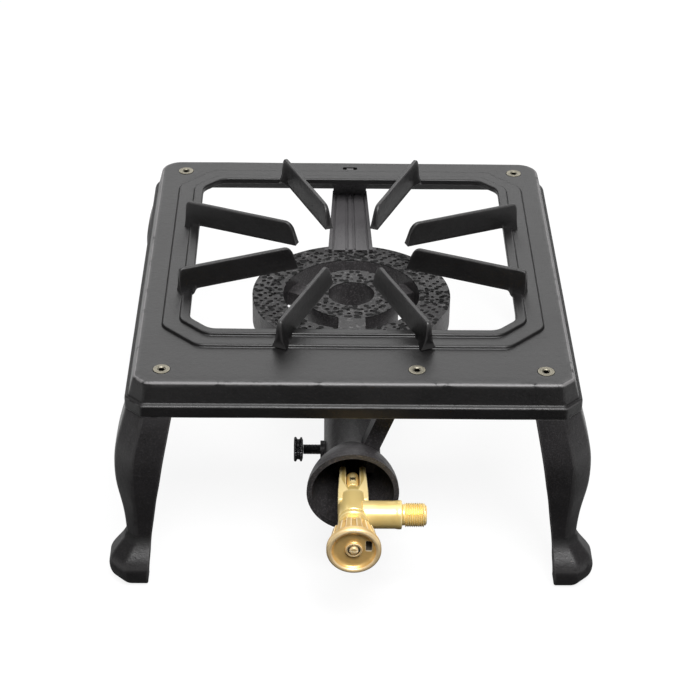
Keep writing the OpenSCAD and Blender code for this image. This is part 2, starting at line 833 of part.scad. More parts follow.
module valve_spindle() {
    color(brass) on_valve_axis() difference() {
        union() {
            bar(chamber_back + free_gap, chamber_back + free_gap + 4, seat_hole * 0.7, spindle_r);
            bar(chamber_back + free_gap + 4, spindle_front, spindle_r);
        }
        bar(knob_screw_back - 1, spindle_front + 1, knob_screw_r + run_gap);
    }
}

module spindle_packing() {
    color("ivory") on_valve_axis() difference() {
        bar(packing_back + 0.1, packing_front, packing_r);
        bar(packing_back - 1, packing_front + 1, spindle_r + run_gap);
    }
}

module gland_nut() {
    color(brass) on_valve_axis() difference() {
        union() {
            bar(packing_front, barrel_front + 0.5, gland_r);
            hex_bar(barrel_front, gland_front, gland_af);
        }
        bar(packing_front - 1, gland_front + 1, spindle_r + run_gap);
    }
}

// Half section of the knob, radius against distance forward
module knob_section() {
    polygon([[spindle_r + run_gap, knob_back], [knob_back_r - 1.5, knob_back],
        [knob_back_r, knob_back + 1.5], [knob_r - 1.2, rim_back], [knob_r, rim_back + 1.4],
        [knob_r, knob_reach - 1.6], [knob_r - 0.5, knob_reach - 0.5], [knob_r - 1.6, knob_reach],
        [dish_r, knob_reach - 0.6],
        [dish_r - 1.6, knob_reach - dish_deep], [hub_r + 0.6, knob_reach - dish_deep],
        [hub_r, knob_reach - dish_deep + 0.6], [hub_r, knob_reach - 1.6],
        [hub_cup, knob_reach - 1.6], [hub_cup, hub_floor], [knob_screw_r + run_gap, hub_floor],
        [knob_screw_r + run_gap, hub_floor - 0.8], [spindle_r + run_gap, hub_floor - 0.8]]);
}

module knob() {
    cone_l = rim_back - knob_back;
    cone_lean = atan((knob_r - 1.2 - knob_back_r) / cone_l);
    color(old_brass) on_valve_axis() difference() {
        rotate_extrude($fn = round_fn) knob_section();
        for (k = [0:flute_count - 1]) {
            rotate([0, 0, (k + 0.5) * 360 / flute_count]) translate([knob_back_r + flute_out, 0, knob_back])
                rotate([0, cone_lean, 0]) bar(-3, cone_l - 0.6, flute_r);
        }
        translate([knob_slot_x - knob_slot_w / 2, knob_slot_up - knob_slot_h / 2, knob_back - 1])
            cube([knob_slot_w, knob_slot_h, knob_reach - knob_back]);
    }
}

module knob_washer() {
    color(zinc) on_valve_axis() difference() {
        bar(hub_floor, hub_floor + knob_washer_t, knob_washer_r);
        bar(hub_floor - 1, hub_floor + 2, knob_screw_r + 0.1);
    }
}

module knob_screw() {
    head = hub_floor + knob_washer_t;
    color(brass) on_valve_axis() difference() {
        union() {
            bar(knob_screw_back, head + 0.5, knob_screw_r);
            bar(head, head + 1.2, knob_screw_head);
            bar(head + 1.2, head + 1.8, knob_screw_head, knob_screw_head - 0.6);
        }
        translate([0, 0, head + 1.8]) cube([2 * knob_screw_head + 1, 0.8, 1.6], center = true);
    }
}

top_plate();
pot_fingers();
leg_front_left();
leg_front_right();
leg_back_left();
leg_back_right();
leg_screws();
leg_washers();
leg_nuts();
burner_casting();
burner_screw();
burner_washer();
burner_nut();
thumb_screw();
valve_body();
gas_jet();
valve_spindle();
spindle_packing();
gland_nut();
knob();
knob_washer();
knob_screw();
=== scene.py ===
"""Looks of the propane burner stand: castings, brass valve, screws, studio."""
import json
import math

import bpy
import numpy as np
from mathutils import Matrix, Vector


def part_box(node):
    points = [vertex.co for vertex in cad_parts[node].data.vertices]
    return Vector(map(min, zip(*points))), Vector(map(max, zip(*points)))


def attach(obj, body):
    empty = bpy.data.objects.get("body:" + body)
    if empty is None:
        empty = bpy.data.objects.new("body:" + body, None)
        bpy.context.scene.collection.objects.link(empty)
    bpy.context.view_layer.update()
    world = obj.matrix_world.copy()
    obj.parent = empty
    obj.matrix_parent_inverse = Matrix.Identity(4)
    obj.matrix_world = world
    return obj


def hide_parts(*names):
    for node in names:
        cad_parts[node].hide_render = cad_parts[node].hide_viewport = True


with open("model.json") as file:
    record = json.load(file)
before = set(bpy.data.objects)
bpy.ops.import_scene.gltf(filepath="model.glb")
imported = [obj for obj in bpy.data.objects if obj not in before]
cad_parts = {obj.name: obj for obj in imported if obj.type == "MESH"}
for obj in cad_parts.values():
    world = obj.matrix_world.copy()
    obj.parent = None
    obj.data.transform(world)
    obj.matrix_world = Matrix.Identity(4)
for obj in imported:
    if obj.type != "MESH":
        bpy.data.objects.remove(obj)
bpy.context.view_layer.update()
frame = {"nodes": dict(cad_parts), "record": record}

MM = 0.001
TAU = 2 * math.pi
ROOT2 = math.sqrt(2)

# Sizes are in millimetres from the middle of the plate's top face, as the stand is drawn.
# The plate's own box places that point in the frame.
plate_low, plate_high = [Vector(c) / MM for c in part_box("top_plate")]
STEP_TOP = 4.0
PLATE_MID = np.array([(plate_low.x + plate_high.x) / 2, (plate_low.y + plate_high.y) / 2,
                      plate_high.z - STEP_TOP])
FLOOR = -PLATE_MID[2]
VALVE_Z = -77.0
BURNER_Y, FACE_Z, ARM_Y = 3.5, -27.0, 65.2


# ---------------------------------------------------------------- surfaces

def soften(corners, reach, steps, run=0):
    """A closed row of corners with each corner P rounded. With A and B the places at most
    reach from P on its two sides, the round is (1-t)^2 A + 2t(1-t) P + t^2 B at even steps
    of t. run places are spread evenly along each straight between two rounds."""
    corners = np.asarray(corners, float)
    back = np.roll(corners, 1, axis=-2) - corners
    on = np.roll(corners, -1, axis=-2) - corners
    back_len = np.linalg.norm(back, axis=-1, keepdims=True)
    on_len = np.linalg.norm(on, axis=-1, keepdims=True)
    reach = np.minimum(np.broadcast_to(reach, corners.shape[:-1])[..., None],
                       0.499 * np.minimum(back_len, on_len))
    start = (corners + back / back_len * reach)[..., None, :]
    end = (corners + on / on_len * reach)[..., None, :]
    t = np.linspace(0, 1, steps)[:, None]
    rounds = (1 - t) ** 2 * start + 2 * t * (1 - t) * corners[..., None, :] + t ** 2 * end
    if run:
        u = (np.arange(run) + 1)[:, None] / (run + 1)
        following = np.roll(start, -1, axis=-3)
        rounds = np.concatenate([rounds, end * (1 - u) + following * u], axis=-2)
    return rounds.reshape(*corners.shape[:-2], -1, corners.shape[-1])


def grid_faces(rows, cols, closed_rows):
    """Quads between neighbouring rings of a grid whose rings are closed."""
    a, b = np.meshgrid(np.arange(rows if closed_rows else rows - 1), np.arange(cols), indexing="ij")
    c, d = (a + 1) % rows, (b + 1) % cols
    quads = np.stack([a * cols + b, a * cols + d, c * cols + d, c * cols + b], -1)
    return quads.reshape(-1, 4)


def solid(rings, closed=False):
    """A closed surface through rings of equal count: open ends get a fan round the middle of
    the end ring. The faces are turned to point outwards by the sign of the volume."""
    rings = np.asarray(rings, float)
    rows, cols = rings.shape[:2]
    points = rings.reshape(-1, 3)
    quads = grid_faces(rows, cols, closed)
    tris = np.empty((0, 3), int)
    if not closed:
        around = np.arange(cols)
        after = (around + 1) % cols
        ends = []
        for centre, base, flip in ((len(points), 0, False), (len(points) + 1, (rows - 1) * cols, True)):
            fan = [np.full(cols, centre), base + after, base + around]
            ends.append(np.stack(fan[::-1] if flip else fan, -1))
        tris = np.concatenate(ends)
        points = np.concatenate([points, rings[[0, -1]].mean(axis=1)])
    halves = np.concatenate([quads[:, [0, 1, 2]], quads[:, [0, 2, 3]], tris])
    a, b, c = (points[halves[:, k]] for k in range(3))
    if np.einsum("ij,ij->i", a, np.cross(b, c)).sum() < 0:
        quads, tris = quads[:, ::-1], tris[:, ::-1]
    return points, quads.tolist() + tris.tolist()


def joined(solids):
    """Several closed surfaces as one list of points and faces."""
    points, faces, first = [], [], 0
    for p, f in solids:
        points.append(p)
        faces += [[i + first for i in face] for face in f]
        first += len(p)
    return np.concatenate(points), faces


def edge_wear_and_shading(mesh):
    """How sharply the surface turns at each point: up to 1 outwards at a ridge, down to -1
    inwards in a valley. It is the largest angle between two faces over the point's edges. The
    finishes paint wear and a highlight on the ridges and shade in the valleys from it."""
    count = len(mesh.polygons)
    normal = np.empty(count * 3)
    centre = np.empty(count * 3)
    mesh.polygons.foreach_get("normal", normal)
    mesh.polygons.foreach_get("center", centre)
    normal, centre = normal.reshape(-1, 3), centre.reshape(-1, 3)
    edge_of = np.empty(len(mesh.loops), int)
    mesh.loops.foreach_get("edge_index", edge_of)
    size = np.empty(count, int)
    mesh.polygons.foreach_get("loop_total", size)
    face_of = np.repeat(np.arange(count), size)
    order = np.argsort(edge_of, kind="stable")
    edges, faces = edge_of[order], face_of[order]
    pair = np.flatnonzero(edges[1:] == edges[:-1])
    one, two, edge = faces[pair], faces[pair + 1], edges[pair]
    turn = np.arccos(np.clip((normal[one] * normal[two]).sum(1), -1, 1))
    ridge = ((centre[two] - centre[one]) * normal[one]).sum(1) < 0
    sharp = np.clip(turn / math.radians(24), 0, 1)
    ends = np.empty(len(mesh.edges) * 2, int)
    mesh.edges.foreach_get("vertices", ends)
    ends = ends.reshape(-1, 2)
    out, into = np.zeros(len(mesh.vertices)), np.zeros(len(mesh.vertices))
    for side in (0, 1):
        np.maximum.at(out, ends[edge, side], np.where(ridge, sharp, 0))
        np.maximum.at(into, ends[edge, side], np.where(ridge, 0, sharp))
    return np.where(out >= into, out, -into)


def add_piece(name, surface, body, finish, nodes=(), angle=38, share=None):
    """Puts a surface given in millimetres from the plate's middle into the scene. share gives
    the part of the edge marks kept at each of its points: the wear with its painted highlight
    on ridges, and the painted shade in creases."""
    points, faces = surface
    mesh = bpy.data.meshes.new(name)
    mesh.from_pydata(((points + PLATE_MID) * MM).tolist(), [], faces)
    mesh.update()
    mesh.shade_smooth()
    mesh.set_sharp_from_angle(angle=math.radians(angle))
    wear_and_shading = edge_wear_and_shading(mesh) * (1.0 if share is None else share(points))
    mesh.attributes.new("wear_and_shading", "FLOAT", "POINT").data.foreach_set("value", wear_and_shading)
    mesh.materials.append(finish)
    made = bpy.data.objects.new(name, mesh)
    bpy.context.scene.collection.objects.link(made)
    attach(made, body)
    if nodes:
        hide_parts(*nodes)
    return made


def turned(profile, around=64):
    """A lathe surface: radius and distance of each profile place, carried round the local Z
    axis."""
    profile = np.asarray(profile, float)
    a = np.arange(around) * TAU / around
    x = profile[:, 0, None] * np.cos(a)
    y = profile[:, 0, None] * np.sin(a)
    return np.stack([x, y, np.broadcast_to(profile[:, 1, None], x.shape)], -1)


def forward(rings, at=(0, 0, VALVE_Z)):
    """Local Z to the front along the valve's axis, local Y up."""
    return np.stack([rings[..., 0], -rings[..., 2], rings[..., 1]], -1) + np.array(at)


def rightward(rings, at):
    """Local Z to the right."""
    return np.stack([rings[..., 2], rings[..., 0], rings[..., 1]], -1) + np.array(at)


def leftward(rings, at):
    """Local Z to the left."""
    return np.stack([-rings[..., 2], -rings[..., 0], rings[..., 1]], -1) + np.array(at)


def ease(a, b, s):
    """Smooth step from a to b as s goes from 0 to 1."""
    return a + (b - a) * (1 - np.cos(np.pi * np.clip(s, 0, 1))) / 2


def wave(points, size, length):
    """A slow unevenness of a sand casting: three crossed sine waves of that size and
    length."""
    x, y, z = (points[..., k] * TAU / length for k in range(3))
    return size / 3 * (np.sin(x + 1.3 * np.sin(0.7 * y)) + np.sin(1.3 * y + 0.9 * np.sin(0.8 * z + 2))
                       + np.sin(1.1 * z + 1.1 * np.sin(0.9 * x + 4)))


# ---------------------------------------------------------------- shader arithmetic

class Wire:
    """A socket of a material, with arithmetic: each operator adds one Math node."""

    def __init__(self, tree, socket):
        self.tree, self.socket = tree, socket

    def make(self, kind, settings=None, inputs=None, output=0):
        """Any node: its settings first, then the values or wires of its sockets."""
        node = self.tree.nodes.new(kind)
        for key, value in (settings or {}).items():
            setattr(node, key, value)
        for key, value in (inputs or {}).items():
            if isinstance(value, Wire):
                self.tree.links.new(value.socket, node.inputs[key])
            else:
                node.inputs[key].default_value = value
        return Wire(self.tree, node.outputs[output] if node.outputs else None)

    def _math(self, operation, a, b=0.0, clamp=False):
        return self.make("ShaderNodeMath", {"operation": operation, "use_clamp": clamp}, {0: a, 1: b})

    def __add__(self, other):
        return self._math("ADD", self, other)

    def __sub__(self, other):
        return self._math("SUBTRACT", self, other)

    def __rsub__(self, other):
        return self._math("SUBTRACT", other, self)

    def __mul__(self, other):
        return self._math("MULTIPLY", self, other)

    __radd__ = __add__
    __rmul__ = __mul__

    def clamped(self):
        return self._math("ADD", self, 0.0, clamp=True)

    def between(self, low, high):
        """0 at or under low, 1 at or over high."""
        return self.make("ShaderNodeMapRange", {"interpolation_type": "SMOOTHSTEP"},
                         {"Value": self, "From Min": low, "From Max": high})

    def noise(self, scale, detail=2.0, rough=0.5, lumps=0.0):
        """Noise read from these coordinates, scale in waves per metre."""
        return self.make("ShaderNodeTexNoise", None, {"Vector": self, "Scale": scale, "Detail": detail,
                                                      "Roughness": rough, "Distortion": lumps})

    def blend(self, a, b):
        """Colour a where this is 0, b where it is 1."""
        a, b = (c if isinstance(c, Wire) else (*c, 1) for c in (a, b))
        return self.make("ShaderNodeMix", {"data_type": "RGBA"}, {0: self, 6: a, 7: b}, output=2)


def finish(name, recipe):
    """A material made by a recipe of the place and of the edge attribute, which carries wear,
    painted highlight on ridges and painted shade in creases; the recipe returns the shader's
    socket values and the height of its surface grain in metres."""
    material = bpy.data.materials.new(name)
    material.use_nodes = True
    tree = material.node_tree
    tree.nodes.clear()
    start = Wire(tree, None)
    place = start.make("ShaderNodeTexCoord", output=3)
    wear_and_shading = start.make("ShaderNodeAttribute", {"attribute_name": "wear_and_shading"}, output=2)
    sockets, height = recipe(place, wear_and_shading)
    normal = start.make("ShaderNodeBump", None, {"Strength": 1.0, "Distance": 1.0, "Height": height})
    shader = start.make("ShaderNodeBsdfPrincipled", None, {**sockets, "Normal": normal})
    start.make("ShaderNodeOutputMaterial", None, {"Surface": shader})
    return material


def cast_iron(tone, grain=1.0, dust=0.3, rubbed_and_highlight=0.2):
    """Satin black paint over sand-cast iron: a pebbled skin, small pits, dusty cloudy tone,
    paint rubbed thin along the ridges with a painted highlight there, and painted shade in the
    creases."""
    def recipe(place, wear_and_shading):
        cloud = place.noise(22, 4, 0.6)
        sand = place.noise(900, 3, 0.65)
        pebble = place.noise(260, 2, 0.5, 0.4)
        pits = place.make("ShaderNodeTexVoronoi", None, {"Vector": place, "Scale": 330.0})
        pit = 1 - pits.between(0.05, 0.22)
        # Ridges lightened: paint rubbed thin, and a painted highlight of the edge catching light.
        rub_and_highlight = (wear_and_shading * (place.noise(75, 4, 0.7).between(0.22, 0.5))).between(0.15, 0.75)
        # Creases and inner corners darkened nearly black: painted shade.
        crease_shade = (wear_and_shading * -1.0).between(0.15, 0.8)
        dark = tuple(0.55 * c for c in tone)
        colour = cloud.between(0.32, 0.7).blend(dark, tone)
        colour = (sand.between(0.48, 0.7) * dust).blend(colour, tuple(3.0 * c for c in tone))
        colour = (pit * 0.6).blend(colour, (0.004, 0.004, 0.004))
        colour = (rub_and_highlight * 0.8).blend(colour, (rubbed_and_highlight, 0.97 * rubbed_and_highlight, 0.98 * rubbed_and_highlight))
        colour = (crease_shade * 0.8).blend(colour, (0.003, 0.003, 0.003))
        rough = 0.32 + cloud * 0.1 + sand * 0.1 + crease_shade * 0.35
        height = (sand * 0.00005 + pebble * 0.00016 - pit * 0.00006) * grain
        return {"Base Color": colour, "Roughness": rough, "Specular IOR Level": 0.45}, height
    return recipe


def ported_iron(place, wear_and_shading):
    """The burner's iron: rough and burnt, with pores painted black as the shade of port holes,
    dented slightly into the ported face, and a greyer smooth arm behind it."""
    sockets, height = cast_iron((0.038, 0.0355, 0.037), 1.8, 0.5, 0.1)(place, wear_and_shading)
    side, along, up = (place.make("ShaderNodeSeparateXYZ", None, {"Vector": place}, output=k)
                       for k in range(3))
    face_z = (PLATE_MID[2] + FACE_Z) * MM
    above, below = up.between(face_z + 0.0004, face_z + 0.0008), up.between(face_z - 0.0012, face_z - 0.0006)
    on_face = below * (1 - above)
    cells = place.make("ShaderNodeTexVoronoi", {"feature": "F1"}, {"Vector": place, "Scale": 230.0,
                                                                  "Randomness": 0.85})
    spoke = (1 - (side * side).between(0.00008, 0.0001)) * (1 - along.between(-0.003, -0.001))
    arm_y = (PLATE_MID[1] + ARM_Y) * MM
    arm = along.between(arm_y, arm_y + 0.0006) * (1 - (side * side).between(0.00033, 0.0004))
    plain = on_face * (1 - arm)
    # Black cells: painted shade standing in for port holes, kept off the spokes.
    port_shade = (1 - cells.between(0.32, 0.5)) * plain * (1 - spoke)
    speck = place.noise(420, 2, 0.6).between(0.57, 0.69) * plain
    colour = (plain * 0.7).blend(sockets["Base Color"], (0.008, 0.0075, 0.0078))
    colour = (arm * 0.85).blend(colour, (0.075, 0.072, 0.075))
    colour = (speck * 0.5).blend(colour, (0.13, 0.126, 0.126))
    colour = port_shade.blend(colour, (0.002, 0.002, 0.002))
    rough = sockets["Roughness"] + port_shade * 0.4
    return ({**sockets, "Base Color": colour, "Roughness": rough, "Specular IOR Level": 0.3},
            height - port_shade * 0.0006)


def within(place, box):
    """1 inside a box given by its two corners in millimetres from the plate's middle."""
    inside = 1.0
    for k in range(3):
        on_axis = place.make("ShaderNodeSeparateXYZ", None, {"Vector": place}, output=k)
        low, high = ((corner[k] + PLATE_MID[k]) * MM for corner in box)
        inside = (on_axis.between(low - 0.0003, low) * (1 - on_axis.between(high, high + 0.0003))) * inside
    return inside


def brass(tone, polish, stain, rubbed_and_highlight, hollow):
    """Turned brass: fine tool lines, cloudy tarnish of colour stain, ridges rubbed bright with a
    painted highlight, and painted shade, nearly black, inside the box hollow."""
    def recipe(place, wear_and_shading):
        cloud = place.noise(55, 4, 0.6)
        fine = place.noise(1500, 2, 0.6)
        tool = place.make("ShaderNodeTexNoise", None, {
            "Vector": place.make("ShaderNodeMapping", None, {"Vector": place, "Scale": (40, 2200, 40)}),
            "Scale": 1.0, "Detail": 1.0})
        # Ridges rubbed bright: wear and a painted highlight, less metallic so that it shows from any side.
        rub_and_highlight = wear_and_shading.clamped()
        # Nearly black inside the hollow: painted shade.
        hollow_shade = within(place, hollow) * 0.93
        colour = (cloud.between(0.45, 0.75) * 0.55).blend(tone, stain)
        colour = (rub_and_highlight * 0.8).blend(colour, rubbed_and_highlight)
        colour = hollow_shade.blend(colour, (0.012, 0.009, 0.006))
        return ({"Base Color": colour, "Roughness": polish + cloud * 0.14 + fine * 0.05 + hollow_shade * 0.3,
                 "Metallic": (0.6 - rub_and_highlight * 0.4) * (1 - hollow_shade)},
                tool * 0.000012 + fine * 0.000008)
    return recipe


def plated(tone, polish, shade_brim=-1.0):
    """Plated steel: a cloudy shine with fine scratches, brighter at the ridges as wear with a
    painted highlight, and black below the height brim in metres as painted shade of the
    countersink."""
    def recipe(place, wear_and_shading):
        cloud = place.noise(160, 3, 0.6)
        fine = place.noise(2500, 2, 0.6)
        colour = (cloud.between(0.4, 0.75) * 0.5).blend(tone, tuple(0.6 * c for c in tone))
        # Ridges brighter: wear and a painted highlight.
        colour = (wear_and_shading.clamped() * 0.4).blend(colour, tuple(min(1, 1.5 * c + 0.05) for c in tone))
        height = place.make("ShaderNodeSeparateXYZ", None, {"Vector": place}, output=2)
        # Black below the brim: painted shade of the countersink.
        colour = height.between(shade_brim - 0.0006, shade_brim).blend((0.01, 0.009, 0.008), colour)
        return ({"Base Color": colour, "Roughness": polish + cloud * 0.15, "Metallic": 1.0},
                fine * 0.00001 + cloud * 0.00002)
    return recipe


def packing_cord(place, wear_and_shading):
    """Packed fibre: pale, matt, finely fluffed."""
    fine = place.noise(3000, 3, 0.7)
    colour = fine.between(0.3, 0.7).blend((0.62, 0.6, 0.52), (0.85, 0.84, 0.78))
    return {"Base Color": colour, "Roughness": 0.8 + fine * 0.1}, fine * 0.00005


# One recipe for the three irons: the plate's painted edge highlight is strong, the fingers' and legs' faint,
# and the legs' tone lighter.
IRON = finish("satin_cast_iron", cast_iron((0.006, 0.0056, 0.0058), rubbed_and_highlight=0.16))
IRON_PLAIN = finish("black_cast_iron", cast_iron((0.006, 0.0056, 0.0058), rubbed_and_highlight=0.035))
IRON_LEG = finish("leg_cast_iron", cast_iron((0.015, 0.0138, 0.0146), rubbed_and_highlight=0.05))
IRON_ROUGH = finish("rough_cast_iron", ported_iron)
# Brass: tone, polish, stain and the colour of rubbed ridges with their painted highlight. Each box is where
# painted shade darkens the brass: behind the prong tips inside the bell, round the jet's cross hole, and in
# the knob's slot.
BRIGHT = (0.92, 0.68, 0.24), 0.22, (0.78, 0.5, 0.12), (0.95, 0.8, 0.45)
BRASS = finish("bright_brass", brass(*BRIGHT, ((-10, -148, -85), (10, -100, -69))))
JET_BRASS = finish("jet_brass", brass(*BRIGHT, ((-1.8, -161.5, -85), (1.8, -157.5, -73.3))))
OLD_BRASS = finish("aged_brass", brass((0.86, 0.57, 0.21), 0.27, (0.62, 0.38, 0.12), (0.98, 0.9, 0.7),
                                       ((7.2, -230.2, -78.8), (11.8, -212, -70.2))))
ZINC = finish("yellowish_zinc", plated((0.44, 0.42, 0.35), 0.3))
# The screw heads get painted shade below the plate's top.
SCREW_ZINC = finish("dull_zinc", plated((0.2, 0.185, 0.145), 0.4, (PLATE_MID[2] - 0.3) * MM))
BLACK_STEEL = finish("black_oxide_steel", plated((0.06, 0.06, 0.062), 0.38))
PACKING = finish("packing_cord", packing_cord)
SLOT_FINISH = {"black_cast_iron": IRON, "zinc_steel": ZINC, "black_steel": BLACK_STEEL,
               "bright_brass": BRASS, "aged_brass": OLD_BRASS, "packing": PACKING}


def refinish_cad():
    """Gives every CAD node the finish of its material slot."""
    for part in frame["record"]["subparts"]:
        node = frame["nodes"][part["node"]]
        for k in range(len(node.material_slots)):
            node.material_slots[k].material = SLOT_FINISH[part["material_slot"]]
    for slot in frame["nodes"]["burner_casting"].material_slots:
        slot.material = IRON_ROUGH


# ---------------------------------------------------------------- top plate

PLATE_X, PLATE_Y = 143.0, 157.0
FRONT_CUT, BACK_R = 8.0, 14.5
WINDOW_X, WINDOW_FRONT, WINDOW_BACK, WINDOW_CUT = 110.0, -95.5, 121.5, 14.0
CORNER_GROWTH = 2 - ROOT2
SHEET, SKIRT_H, FLARE, SKIRT_T = 4.5, 23.5, 6.0, 5.0
LEDGE_Z, LEDGE_OUT = -13.63, 3.6


def eight_corners(x, front, back, front_cut, back_cut):
    """Corners of a rectangle with cut corners, anticlockwise from the front left, as an
    array of rings: every size may be an array."""
    x, front, back, fc, bc = np.broadcast_arrays(x, front, back, front_cut, back_cut)
    xs = [-x + fc, x - fc, x, x, x - bc, -x + bc, -x, -x]
    ys = [front, front, front + fc, back - bc, back, back, back - bc, front + fc]
    return np.stack([np.stack(xs, -1), np.stack(ys, -1)], -1)


def plate_loops(s):
    """Loops of the plate at distance s outward of the window's edge: up to 20 mm out they
    are the window's plan grown by s, from 40 mm the plate's plan, and between they turn
    evenly from one to the other. The top face ends at s = 44."""
    s = np.asarray(s, float)
    g = np.minimum(s, 20)
    window = eight_corners(WINDOW_X + g, WINDOW_FRONT - g, WINDOW_BACK + g,
                           WINDOW_CUT + g * CORNER_GROWTH, WINDOW_CUT + g * CORNER_GROWTH)
    o = np.maximum(s, 40) - 44
    outside = eight_corners(PLATE_X + o, -PLATE_Y - o, PLATE_Y + o, FRONT_CUT + o * CORNER_GROWTH,
                            (BACK_R + o) * CORNER_GROWTH)
    inner = soften(window, 5.0, 9, 6)
    round_back = (BACK_R + o[..., None]) * (ROOT2 - 1)
    sharp = np.full_like(round_back, 1.6)
    reach = np.concatenate([sharp] * 3 + [round_back] * 4 + [sharp], -1)
    outer = soften(outside, reach, 9, 6)
    t = np.clip((s - 20) / 20, 0, 1)[..., None, None]
    return inner * (1 - t) + outer * t


def top_plate():
    """The plate with steps, skirt and ledge: the loops of plate_loops carried along the
    rounded section of the casting, with a slow waviness of the skin."""
    lip, ledge, rim = 44.0, 44 + LEDGE_OUT, 44 + FLARE
    section = np.array([
        (0, -0.5), (0, 4), (6.5, 4), (6.9, 2), (18, 2), (18.5, 0), (lip, 0), (ledge, LEDGE_Z),
        (rim, LEDGE_Z - 1.2), (rim, -SKIRT_H), (rim - SKIRT_T, -SKIRT_H), (lip - SKIRT_T, -SHEET),
        (13.5, -SHEET), (13.5, -2.5), (4.25, -2.5), (4.25, -0.5)])
    reach = np.array([0.9, 1.3, 1.2, 0.9, 1.2, 0.9, 1.6, 0.5, 0.9, 1.2, 1.2, 2.5, 0.5, 0.5, 0.5, 0.5])
    path = soften(section, reach, 5, 3)
    loops = plate_loops(path[:, 0])
    heights = np.broadcast_to(path[:, 1, None, None], (*loops.shape[:2], 1))
    rings = np.concatenate([loops, heights], -1)
    rings[..., 2] += wave(rings, 0.16, 61) - 0.1
    return solid(rings, closed=True)


def cut_away(surface, cutters):
    """A surface with closed cutters taken out of it, by Blender's exact boolean."""
    def scratch(name, points, faces):
        mesh = bpy.data.meshes.new(name)
        mesh.from_pydata(points.tolist(), [], faces)
        made = bpy.data.objects.new(name, mesh)
        bpy.context.scene.collection.objects.link(made)
        return made
    blank = scratch("blank", *surface)
    tool = scratch("cutter", *joined(cutters))
    boolean = blank.modifiers.new("cut", "BOOLEAN")
    boolean.operation, boolean.solver, boolean.object = "DIFFERENCE", "EXACT", tool
    done = blank.evaluated_get(bpy.context.evaluated_depsgraph_get()).to_mesh()
    points = np.empty(len(done.vertices) * 3)
    done.vertices.foreach_get("co", points)
    faces = [list(p.vertices) for p in done.polygons]
    for made in (blank, tool):
        bpy.data.objects.remove(made)
    return points.reshape(-1, 3), faces


LEG_SCREWS = [(x, y) for x in (-125, 125) for y in (-141, 141)]
BURNER_SCREW = (41, -140)


def screw_holes():
    """Countersunk holes for the five screws and the slot for the burner's tongue."""
    cone = [(3.3, -9), (3.3, -3), (6.2, 0.35), (6.2, 3)]
    holes = [solid(turned(cone, 48) + np.array([x, y, 0])) for x, y in [*LEG_SCREWS, BURNER_SCREW]]
    slot = soften([(-5.5, 145), (5.5, 145), (5.5, 149), (-5.5, 149)], 1.2, 5)
    walls = [np.column_stack([slot, np.full(len(slot), z)]) for z in (-9.0, 3.0)]
    return [*holes, solid(walls)]


def plate_wear_and_shading_share(points):
    """Share of the edge marks, wear with painted highlight and painted crease shade: full on the
    outer edges, less on the ledge, little round the window, none beside the holes."""
    share = np.where(np.maximum(abs(points[:, 0]) - 132, abs(points[:, 1]) - 146) < 0, 0.2, 1.0)
    share[points[:, 2] < LEDGE_Z + 3] *= 0.5
    for x, y in [*LEG_SCREWS, BURNER_SCREW, (0, 147)]:
        share[np.hypot(points[:, 0] - x, points[:, 1] - y) < 9] = 0
    return share


# ---------------------------------------------------------------- pot fingers

def finger(angle, out, edge):
    """One pot finger as rings along its length. Each ring is a rounded bar section; the top
    drops in a quarter round at both ends, and the foot flares where it meets the plate."""
    l = np.concatenate([42 + 6 * np.linspace(0, 1, 9) ** 1.6, np.linspace(49.5, out - 18, 14),
                        out - 17 * np.linspace(0.98, 0, 18) ** 1.5])
    inner_r, outer_r = 5.5, 3.0
    d_in = np.clip(1 - (l - 42) / inner_r, 0, 1)
    d_out = np.clip(1 - (out - l) / outer_r, 0, 1)
    top = 21 - inner_r * (1 - np.sqrt(1 - d_in ** 2 * 0.99)) - outer_r * (1 - np.sqrt(1 - d_out ** 2 * 0.99))
    foot = ease(0, 1, (l - out + 14) / 9)
    bottom = 4.2 - 3.4 * ease(0, 1, (l - edge + 2) / 3)
    base = 3.1 + 2.2 * foot
    flare = bottom + 1.5 + 4 * foot
    half = np.full_like(l, 1.5)
    corners = np.stack([np.stack([-base, bottom], -1), np.stack([base, bottom], -1),
                        np.stack([2.65 + 0.15 * foot, flare], -1), np.stack([half, top], -1),
                        np.stack([-half, top], -1), np.stack([-2.65 - 0.15 * foot, flare], -1)], 1)
    loop = soften(corners, [0.3, 0.3, 3.2, 1.3, 1.3, 3.2], 6, 1)
    lean = 4.6 * np.clip((loop[..., 1] - 4) / 17, 0, 1) * np.clip(1 - (l[:, None] - 42) / 30, 0, 1)
    along = l[:, None] + lean
    rings = np.stack([along, loop[..., 0], loop[..., 1]], -1)
    rings[..., 1] += wave(rings, 0.12, 37)
    c, s = math.cos(angle), math.sin(angle)
    x, y = rings[..., 0] * c - rings[..., 1] * s, rings[..., 0] * s + rings[..., 1] * c
    return solid(np.stack([x, y + BURNER_Y, rings[..., 2]], -1))


def pot_fingers():
    """Eight fingers, 45 degrees apart, each reaching past the window's edge."""
    made = []
    for k in range(8):
        angle = (k + 0.5) * TAU / 8
        c, s = abs(math.cos(angle)), math.sin(angle)
        depth = BURNER_Y - WINDOW_FRONT if s < 0 else WINDOW_BACK - BURNER_Y
        edge = WINDOW_X / c if c > 0.5 else depth / abs(s)
        made.append(finger(angle, 128.9, min(edge, 127.4)))
    return joined(made)


# ---------------------------------------------------------------- legs

LEG_H, KNEE_H, ANKLE_H, TOE_H = 128.5, 87.4, 35.0, 14.0
KNEE_OUT, ANKLE_OUT, TOE_OUT, SOLE_IN = 8.3, 2.5, 14.2, 7.0
RIM_X, RIM_Y = PLATE_X + FLARE, PLATE_Y + FLARE


